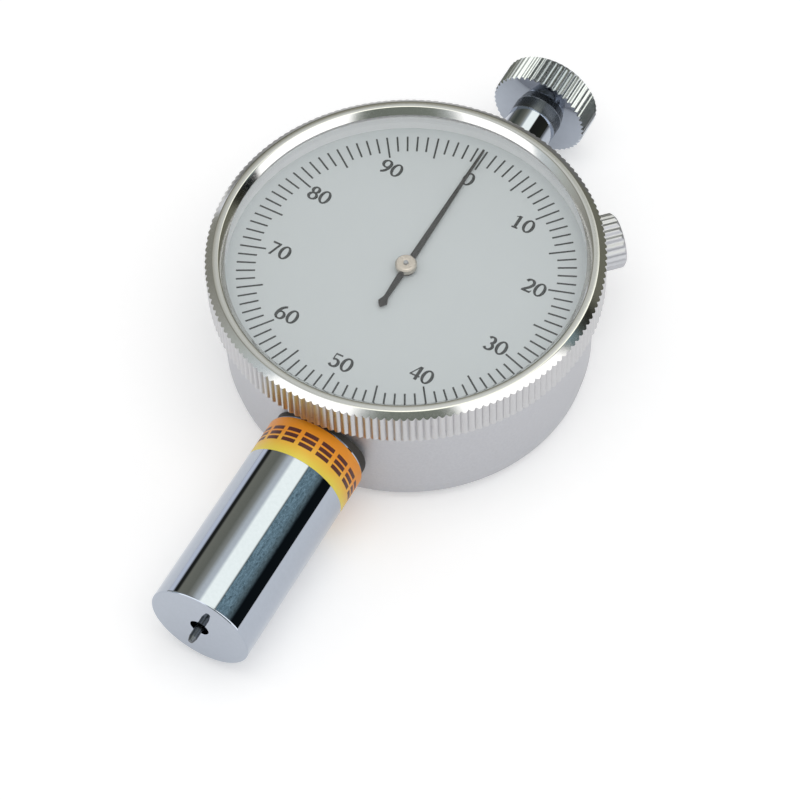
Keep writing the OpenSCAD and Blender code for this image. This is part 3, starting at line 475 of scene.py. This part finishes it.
cells = addNode(tree, "ShaderNodeMath", {"operation": "MULTIPLY"}, {
    0: turn.outputs[0], 1: p["blocks"] / (2 * math.pi)})
inCell = addNode(tree, "ShaderNodeMath", {"operation": "FRACT"}, {0: cells.outputs[0]})
block = addNode(tree, "ShaderNodeMath", {"operation": "LESS_THAN"}, {
    0: inCell.outputs[0], 1: p["blockShare"]})
offRow = addNode(tree, "ShaderNodeMath", {"operation": "SUBTRACT"}, {
    0: axes.outputs[1], 1: p["rowMiddle"] * mm})
rowGap = addNode(tree, "ShaderNodeMath", {"operation": "ABSOLUTE"}, {0: offRow.outputs[0]})
row = addNode(tree, "ShaderNodeMath", {"operation": "LESS_THAN"}, {
    0: rowGap.outputs[0], 1: p["rowHigh"] / 2 * mm})
barPitch = p["rowHigh"] / (p["bars"] - 1 + p["barShare"])
bars = addNode(tree, "ShaderNodeMath", {"operation": "MULTIPLY_ADD"}, {
    0: offRow.outputs[0], 1: 1 / (barPitch * mm), 2: p["rowHigh"] / 2 / barPitch})
inBar = addNode(tree, "ShaderNodeMath", {"operation": "FRACT"}, {0: bars.outputs[0]})
bar = addNode(tree, "ShaderNodeMath", {"operation": "LESS_THAN"}, {0: inBar.outputs[0], 1: p["barShare"]})
mark = addNode(tree, "ShaderNodeMath", {"operation": "MULTIPLY"}, {0: block.outputs[0], 1: row.outputs[0]})
ink = addNode(tree, "ShaderNodeMath", {"operation": "MULTIPLY"}, {0: mark.outputs[0], 1: bar.outputs[0]})
printed = addNode(tree, "ShaderNodeMix", {"data_type": "RGBA"}, {
    0: ink.outputs[0], 6: paper.outputs[2], 7: toLinear(p["ink"])})
tree.links.new(printed.outputs[2], shader.inputs["Base Color"])
dress(labelRing, "case", "label_band", "label_paper", foilLabel)
print("barrel and label made")


# Indenter: ground needle with a blunt cone
needleLow, needleHigh = nodeBox("indenter")
needleSizes = {"cone": 35, "tip": 0.79, "tipFlat": 0.06, "tipEdge": 0.04, "coneEdge": 0.05, "sides": 48}
s = needleSizes
needleRadius = needleHigh.x
coneTall = (needleRadius - s["tip"] / 2) / math.tan(math.radians(s["cone"] / 2))
needle = turnPiece("needle", s["sides"], [
    (s["tip"] / 2 - s["tipFlat"], needleLow.y, 0), (s["tip"] / 2, needleLow.y, s["tipEdge"]),
    (needleRadius, needleLow.y + coneTall, s["coneEdge"]), (needleRadius, needleHigh.y, 0)])
layAlong(needle, axisHeight)
smoothPiece(needle)
dress(needle, "plunger", "indenter", "indenter_steel", needleSteelAndHubShade)


# Main spring: a merged copy of the CAD coil
springSizes = {"travel": 2.5, "merge": 0.001, "smooth": 40}
s = springSizes
springCoil = bpy.data.objects.new("springCoil", nodes["main_spring"].data.copy())
springCoil.data.name = "springCoil"
bpy.context.scene.collection.objects.link(springCoil)
pickVerts(springCoil, lambda co: True)
bpy.ops.mesh.remove_doubles(threshold=s["merge"] * mm)
bpy.ops.object.mode_set(mode="OBJECT")
smoothPiece(springCoil, s["smooth"])
dress(springCoil, "case", "main_spring", "spring_steel", springWire)
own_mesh(springCoil)
print("indenter and spring made")


# Top stem: turned rod with a threaded stud at each end
stemSizes = {"rod": 4.0, "stud": 2.5, "studOut": 5.8, "edge": 0.05, "sides": 96}
s = stemSizes
rodTop = stemHigh.y - s["studOut"]
stemRod = turnPiece("stemRod", s["sides"], [
    (s["stud"], stemLow.y, 0), (s["stud"], seat, 0), (s["rod"], seat, s["edge"]), (s["rod"], rodTop, s["edge"]),
    (s["stud"], rodTop, 0), (s["stud"], stemHigh.y, 0)])
layAlong(stemRod, axisHeight)
smoothPiece(stemRod)
dress(stemRod, "case", "top_stem", "chrome_plate", mirrorChrome)


# Knob: hub and knurled rim, bored for the stud
knobLow, knobHigh = nodeBox("knob")
knobSizes = {"teeth": 48, "knurlDeep": 0.4, "hub": 4.0, "hubTall": 2.3, "edge": 0.6, "lowEdge": 0.42,
             "lowTall": 0.2, "bore": 2.55, "boreDeep": 6.0, "boreEdge": 0.15, "hubEdge": 0.05, "topEdge": 0.1,
             "near": 0.05, "smooth": 42, "tooth": (0, 0.15, 0.5, 0.85, 1, 0.85, 0.5, 0.15)}
s = knobSizes
knobRim = knobHigh.x
rimLow = knobLow.y + s["hubTall"]
knobPiece = turnPiece("knobPiece", len(s["tooth"]) * s["teeth"], [
    (s["bore"], knobLow.y + s["boreDeep"], 0), (s["bore"], knobLow.y, s["boreEdge"]),
    (s["hub"], knobLow.y, s["hubEdge"]), (s["hub"], rimLow, s["hubEdge"]), (knobRim - s["lowEdge"], rimLow, 0),
    (knobRim, rimLow + s["lowTall"], 0), (knobRim, knobHigh.y - s["edge"], 0),
    (knobRim - s["edge"], knobHigh.y, s["topEdge"]), (knobRim / 2, knobHigh.y, 0)])
cutKnurl(knobPiece, s["teeth"], s["knurlDeep"], s["tooth"], knobRim, rimLow + s["lowTall"],
         knobHigh.y - s["edge"], topSlope=1, lowSlope=s["lowTall"] / s["lowEdge"])
layAlong(knobPiece, axisHeight)
smoothPiece(knobPiece, s["smooth"])
# Slot 2 puts the dark needle steel on the hub's wall as painted shade
knobSlots = []  # 0 ends, 1 ribs, 2 the hub's wall
for face in knobPiece.data.polygons:
    fromAxis = math.hypot(face.center.x, face.center.z - axisHeight * mm) / mm
    onWall = abs(face.normal.y) < wallLean
    onRibs = onWall and fromAxis > knobRim - s["knurlDeep"] - s["near"]
    onHub = onWall and abs(fromAxis - s["hub"]) < s["near"]
    knobSlots.append(1 if onRibs else 2 if onHub else 0)
dress(knobPiece, "knob", "knob", "chrome_plate", brightChrome, ribChrome, needleSteelAndHubShade)
knobPiece.data.polygons.foreach_set("material_index", knobSlots)
print("stem and knob made")


# Clamp screw: knurled head and plain shank, at the upper right
screwSizes = {"teeth": 22, "knurlDeep": 0.35, "head": 4.3, "headTall": 4.8, "headLow": 29.1, "edge": 0.5,
              "shank": 1.5, "shankLow": 26.73, "pin": 1.0, "pinLow": 26.22, "height": 14.3, "turn": 45,
              "topEdge": 0.1, "smooth": 42, "tooth": (0, 0.15, 0.5, 0.85, 1, 0.85, 0.5, 0.15)}
s = screwSizes
headTop = s["headLow"] + s["headTall"]
screwPiece = turnPiece("screwPiece", len(s["tooth"]) * s["teeth"], [
    (s["pin"], s["pinLow"], 0), (s["pin"], s["shankLow"], 0), (s["shank"], s["shankLow"], 0),
    (s["shank"], s["headLow"], 0), (s["head"], s["headLow"], 0), (s["head"], headTop - s["edge"], 0),
    (s["head"] - s["edge"], headTop, s["topEdge"]), (s["head"] / 2, headTop, 0)])
cutKnurl(screwPiece, s["teeth"], s["knurlDeep"], s["tooth"], s["head"], s["headLow"], headTop - s["edge"],
         topSlope=1)
layAlong(screwPiece, s["height"], s["turn"])
smoothPiece(screwPiece, s["smooth"])
dress(screwPiece, "clamp_screw", "clamp_screw", "chrome_plate", satinChrome)
print("clamp screw made")


# Finishes of the CAD pieces that stay
cadFinishes = {
    satinChrome: ("back_cover", "dial_carrier"),
    machineSteel: ("back_cover_screws", "barrel_neck", "barrel_lock_nut", "spindle", "lower_plate_screws",
                   "upper_plate_screws", "intermediate_arbor", "centre_arbor", "hairspring_stud",
                   "stem_lock_nut"),
    clockBrass: ("spring_adjuster", "spindle_guide_bush", "lower_plate", "plate_pillars", "upper_plate",
                 "intermediate_gear", "hairspring_collet", "clamp_shoe"),
    springWire: ("bezel_retaining_ring",),
    bluedSteel: ("hairspring",),
    blackEnamel: ("pointer",),
    dialLacquer: ("dial_plate",),
    dialInk: ("dial_print",),
}
for finish, names in cadFinishes.items():
    for name in names:
        nodes[name].data.materials.clear()
        nodes[name].data.materials.append(finish)
print("CAD pieces dressed")


# Floor, in metres: pale, keeps the shadow, and plain white where nothing shades it.
# For glossy rays only it is painted dark behind and beside the object: painted shade that the metal shows as
# reflection
floorSizes = {"half": 3.0, "drop": 0.0001, "colour": "#F6F6F6", "lift": 0.25, "darkFrom": (0.06, 0.12),
              "dark": 0.6, "backFrom": (0.07, 0.115), "backDark": 0.8, "darkSide": (0.0, 0.015),
              "darkSlope": -0.47}
s = floorSizes
deselectAll()
bpy.ops.mesh.primitive_plane_add(size=2 * s["half"], location=(0, 0, -s["drop"]))
floor = bpy.context.active_object
floor.name = "floor"
paleFloor, tree, shader = newFinish("paleStudioFloor", s["colour"], 0, 0.9)
shader.inputs["Specular IOR Level"].default_value = 0
path = addNode(tree, "ShaderNodeLightPath")
seen = addNode(tree, "ShaderNodeMath", {"operation": "MAXIMUM"}, {
    0: path.outputs["Is Camera Ray"], 1: path.outputs["Is Glossy Ray"]})
seenAll = addNode(tree, "ShaderNodeMath", {"operation": "MAXIMUM"}, {
    0: seen.outputs[0], 1: path.outputs["Is Transmission Ray"]})
lift = addNode(tree, "ShaderNodeMath", {"operation": "MULTIPLY"}, {0: seenAll.outputs[0], 1: s["lift"]})
coords = addNode(tree, "ShaderNodeTexCoord")
axes = addNode(tree, "ShaderNodeSeparateXYZ", inputs={0: coords.outputs["Object"]})
away = addNode(tree, "ShaderNodeVectorMath", {"operation": "LENGTH"}, {0: coords.outputs["Object"]})
behind = addNode(tree, "ShaderNodeMapRange", {"interpolation_type": "SMOOTHSTEP"}, {
    "Value": away.outputs["Value"], 1: s["darkFrom"][0], 2: s["darkFrom"][1], 3: 0.0, 4: s["dark"]})
farBack = addNode(tree, "ShaderNodeMapRange", {"interpolation_type": "SMOOTHSTEP"}, {
    "Value": axes.outputs[1], 1: s["backFrom"][0], 2: s["backFrom"][1], 3: 0.0, 4: s["backDark"]})
darker = addNode(tree, "ShaderNodeMath", {"operation": "MAXIMUM"}, {
    0: behind.outputs[0], 1: farBack.outputs[0]})
aside = addNode(tree, "ShaderNodeMath", {"operation": "ABSOLUTE"}, {0: axes.outputs[0]})
depth = addNode(tree, "ShaderNodeMath", {"operation": "MULTIPLY_ADD"}, {
    0: aside.outputs[0], 1: s["darkSlope"], 2: axes.outputs[1]})
within = addNode(tree, "ShaderNodeMapRange", inputs={
    "Value": depth.outputs[0], 1: s["darkSide"][0], 2: s["darkSide"][1], 3: 0.0, 4: 1.0})
darkPatch = addNode(tree, "ShaderNodeMath", {"operation": "MULTIPLY"}, {
    0: darker.outputs[0], 1: within.outputs[0]})
# Painted shade: the floor's colour goes dark here for glossy rays only
darkShare = addNode(tree, "ShaderNodeMath", {"operation": "MULTIPLY"}, {
    0: darkPatch.outputs[0], 1: path.outputs["Is Glossy Ray"]})
paint = addNode(tree, "ShaderNodeMix", {"data_type": "RGBA"}, {
    0: darkShare.outputs[0], 6: toLinear(s["colour"]), 7: (0, 0, 0, 1)})
tree.links.new(paint.outputs[2], shader.inputs["Base Color"])
tree.links.new(paint.outputs[2], shader.inputs["Emission Color"])
tree.links.new(lift.outputs[0], shader.inputs["Emission Strength"])
floor.data.materials.append(paleFloor)


# World: soft white studio for diffuse light. Metal sees a softbox overhead, one on each side of the camera,
# and darkness between and behind them. The looks blend by the direction's y, and by its z for overTop
worldSizes = {"soft": 0.62, "softbox": 1.9, "overFrom": (0.365, 0.39), "overTop": (0.85, 0.92),
              "backFrom": (0.53, 0.55), "farFrom": (0.62, 0.7), "farColour": "#5C5C52",
              "speckZone": (25, 28, 46, 68), "speckRise": (0.365, 0.39, 0.47, 0.495),
              "speckColours": ("#22333A", "#8CA5AC"), "speckScale": (15, 1900, 15), "speckCut": (0.3, 0.7),
              "speckDetail": 4, "speckRough": 0.7}
studioLook = {
    "front": [  # angle about Z from -Y towards +X in degrees, colour: what lies on the camera's side
        (-180, "#6F6F64"), (-92, "#70706A"), (-80, "#81817C"), (-64, "#979B98"), (-54, "#A3A9AC"),
        (-47, "#AEB4B8"), (-43, "#FFFFFF"), (-6, "#FFFFFF"), (3, "#989C9C"), (12, "#656A64"), (48, "#5E635D"),
        (54, "#909490"), (58, "#FFFFFF"), (112, "#FFFFFF"), (119, "#55544A"), (180, "#55544A")],
    "over": [  # angle about Y from straight up towards +X in degrees, colour: what lies above
        (-180, "#BDBFC6"), (-80, "#BDBFC6"), (-75, "#20211E"), (-68, "#1C1D1A"), (-63, "#6E6C60"),
        (-42, "#66655A"), (-30, "#86857C"), (-21, "#B3B5B3"), (-13, "#BCBEBC"), (-7, "#FFFFF2"),
        (23, "#FFFFF2"), (26, "#3F423C"), (60, "#3A3D38"), (66, "#0C1012"), (90, "#0E1213"), (96, "#BDBFC6"),
        (180, "#BDBFC6")],
    "back": [  # the same angle: what lies behind the knob
        (-180, "#BDBFC6"), (-96, "#8A8B86"), (-84, "#5B5B51"), (-62, "#3F423B"), (-36, "#5F5F54"),
        (-24, "#807F74"), (-15, "#A8AAA6"), (-9, "#FFFFF2"), (23, "#FFFFF2"), (27, "#1E1E1B"), (60, "#20201C"),
        (90, "#26261F"), (120, "#3E3E38"), (180, "#66665E")]}
world = bpy.data.worlds.new("studio")
bpy.context.scene.world = world
world.use_nodes = True
tree = world.node_tree
background = tree.nodes["Background"]
coords = addNode(tree, "ShaderNodeTexCoord")
axes = addNode(tree, "ShaderNodeSeparateXYZ", inputs={0: coords.outputs["Generated"]})
toCamera = addNode(tree, "ShaderNodeMath", {"operation": "MULTIPLY"}, {0: axes.outputs[1], 1: -1.0})
looks = {}
turns = {}
for name, upright in (("front", toCamera.outputs[0]), ("over", axes.outputs[2]), ("back", axes.outputs[2])):
    around = addNode(tree, "ShaderNodeMath", {"operation": "ARCTAN2"}, {0: axes.outputs[0], 1: upright})
    share = addNode(tree, "ShaderNodeMapRange", inputs={
        "Value": around.outputs[0], 1: -math.pi, 2: math.pi, 3: 0.0, 4: 1.0})
    ramp = addNode(tree, "ShaderNodeValToRGB", inputs={0: share.outputs[0]})
    stops = ramp.color_ramp.elements
    while len(stops) < len(studioLook[name]):
        stops.new(0.5)
    for stop, (angle, _) in zip(stops, studioLook[name]):  # places first, since the ramp sorts its stops
        stop.position = (angle + 180) / 360
    for stop, (_, colour) in zip(stops, studioLook[name]):
        stop.color = toLinear(colour)
    looks[name] = ramp.outputs[0]
    turns[name] = around.outputs[0]

# Mottled wall beside the overhead softbox, which the barrel shows as specks: a zone in degrees and in y
noisePlace = addNode(tree, "ShaderNodeMapping", inputs={
    "Vector": coords.outputs["Generated"], "Scale": worldSizes["speckScale"]})
noise = addNode(tree, "ShaderNodeTexNoise", inputs={
    "Vector": noisePlace.outputs[0], "Scale": 1.0,
    "Detail": worldSizes["speckDetail"], "Roughness": worldSizes["speckRough"]})
cut = worldSizes["speckCut"]
speck = addNode(tree, "ShaderNodeMapRange", inputs={
    "Value": noise.outputs[0], 1: cut[0], 2: cut[1], 3: 0.0, 4: 1.0})
speckColours = [toLinear(colour) for colour in worldSizes["speckColours"]]
specks = addNode(tree, "ShaderNodeMix", {"data_type": "RGBA"}, {
    0: speck.outputs[0], 6: speckColours[0], 7: speckColours[1]})
zone = [math.radians(angle) for angle in worldSizes["speckZone"]]
rise = worldSizes["speckRise"]
inZone = None
for value, ends in ((turns["over"], zone), (axes.outputs[1], rise)):
    for low, high, first in ((ends[0], ends[1], 0.0), (ends[2], ends[3], 1.0)):
        side = addNode(tree, "ShaderNodeMapRange", inputs={
            "Value": value, 1: low, 2: high, 3: first, 4: 1.0 - first})
        if inZone:
            side = addNode(tree, "ShaderNodeMath", {"operation": "MULTIPLY"}, {0: inZone, 1: side.outputs[0]})
        inZone = side.outputs[0]
mottled = addNode(tree, "ShaderNodeMix", {"data_type": "RGBA"}, {
    0: inZone, 6: looks["over"], 7: specks.outputs[2]})

blends = {}
for name, axis in (("overFrom", 1), ("overTop", 2), ("backFrom", 1), ("farFrom", 1)):
    blend = addNode(tree, "ShaderNodeMapRange", inputs={
        "Value": axes.outputs[axis], 1: worldSizes[name][0], 2: worldSizes[name][1], 3: 0.0, 4: 1.0})
    blends[name] = blend.outputs[0]
isOver = addNode(tree, "ShaderNodeMath", {"operation": "MAXIMUM"}, {
    0: blends["overFrom"], 1: blends["overTop"]})
frontOver = addNode(tree, "ShaderNodeMix", {"data_type": "RGBA"}, {
    0: isOver.outputs[0], 6: looks["front"], 7: mottled.outputs[2]})
allRound = addNode(tree, "ShaderNodeMix", {"data_type": "RGBA"}, {
    0: blends["backFrom"], 6: frontOver.outputs[2], 7: looks["back"]})
withFar = addNode(tree, "ShaderNodeMix", {"data_type": "RGBA"}, {
    0: blends["farFrom"], 6: allRound.outputs[2], 7: toLinear(worldSizes["farColour"])})
path = addNode(tree, "ShaderNodeLightPath")
boxLight = addNode(tree, "ShaderNodeMix", {"data_type": "RGBA", "blend_type": "MULTIPLY"}, {
    0: 1.0, 6: withFar.outputs[2], 7: (worldSizes["softbox"],) * 3 + (1,)})
inMetal = addNode(tree, "ShaderNodeMix", {"data_type": "RGBA"}, {
    0: path.outputs["Is Glossy Ray"], 6: (worldSizes["soft"],) * 3 + (1,), 7: boxLight.outputs[2]})
plain = addNode(tree, "ShaderNodeMath", {"operation": "MAXIMUM"}, {
    0: path.outputs["Is Camera Ray"], 1: path.outputs["Is Transmission Ray"]})
seenWorld = addNode(tree, "ShaderNodeMix", {"data_type": "RGBA"}, {
    0: plain.outputs[0], 6: inMetal.outputs[2], 7: (1, 1, 1, 1)})
tree.links.new(seenWorld.outputs[2], background.inputs["Color"])

# Key lamp, in metres and watts: a large softbox over the right shoulder, for the diffuse shading only
keyLamp = {"place": (0.15, -0.1, 0.78), "size": 0.8, "power": 2.4}
deselectAll()
bpy.ops.object.light_add(type="AREA", location=keyLamp["place"])
key = bpy.context.active_object
key.name = "keyLamp"
key.data.size = keyLamp["size"]
key.data.energy = keyLamp["power"]
key.rotation_euler = (-Vector(keyLamp["place"])).to_track_quat("-Z", "Y").to_euler()
key.visible_glossy = False
print("studio made")


# Camera at the photograph's viewing angle, in degrees and mm
cameraSizes = {"elevation": 55.537, "azimuth": 30.534, "roll": -2.604, "right": 0.944, "up": -19.374,
               "distance": 455.92, "focalPixels": 3036.57, "frame": 800, "dialHeight": 20, "sensor": 36,
               "clipStart": 10}
s = cameraSizes
elevation = math.radians(s["elevation"])
azimuth = math.radians(s["azimuth"])
roll = math.radians(s["roll"])
back = Vector((math.sin(azimuth) * math.cos(elevation), -math.cos(azimuth) * math.cos(elevation),
               math.sin(elevation)))
right = Vector((math.cos(azimuth), math.sin(azimuth), 0))
up = back.cross(right)
rolledRight = right * math.cos(roll) + up * math.sin(roll)
rolledUp = up * math.cos(roll) - right * math.sin(roll)
dialMiddle = Vector((0, 0, s["dialHeight"]))
place = back * s["distance"] - rolledRight * s["right"] + rolledUp * s["up"] + dialMiddle
bpy.ops.object.camera_add(location=place * mm)
camera = bpy.context.active_object
camera.rotation_euler = Matrix((rolledRight, rolledUp, back)).transposed().to_euler()
camera.data.sensor_width = s["sensor"]
camera.data.lens = s["focalPixels"] / s["frame"] * s["sensor"]
camera.data.clip_start = s["clipStart"] * mm
bpy.context.scene.camera = camera
bpy.context.scene.view_settings.view_transform = "Standard"
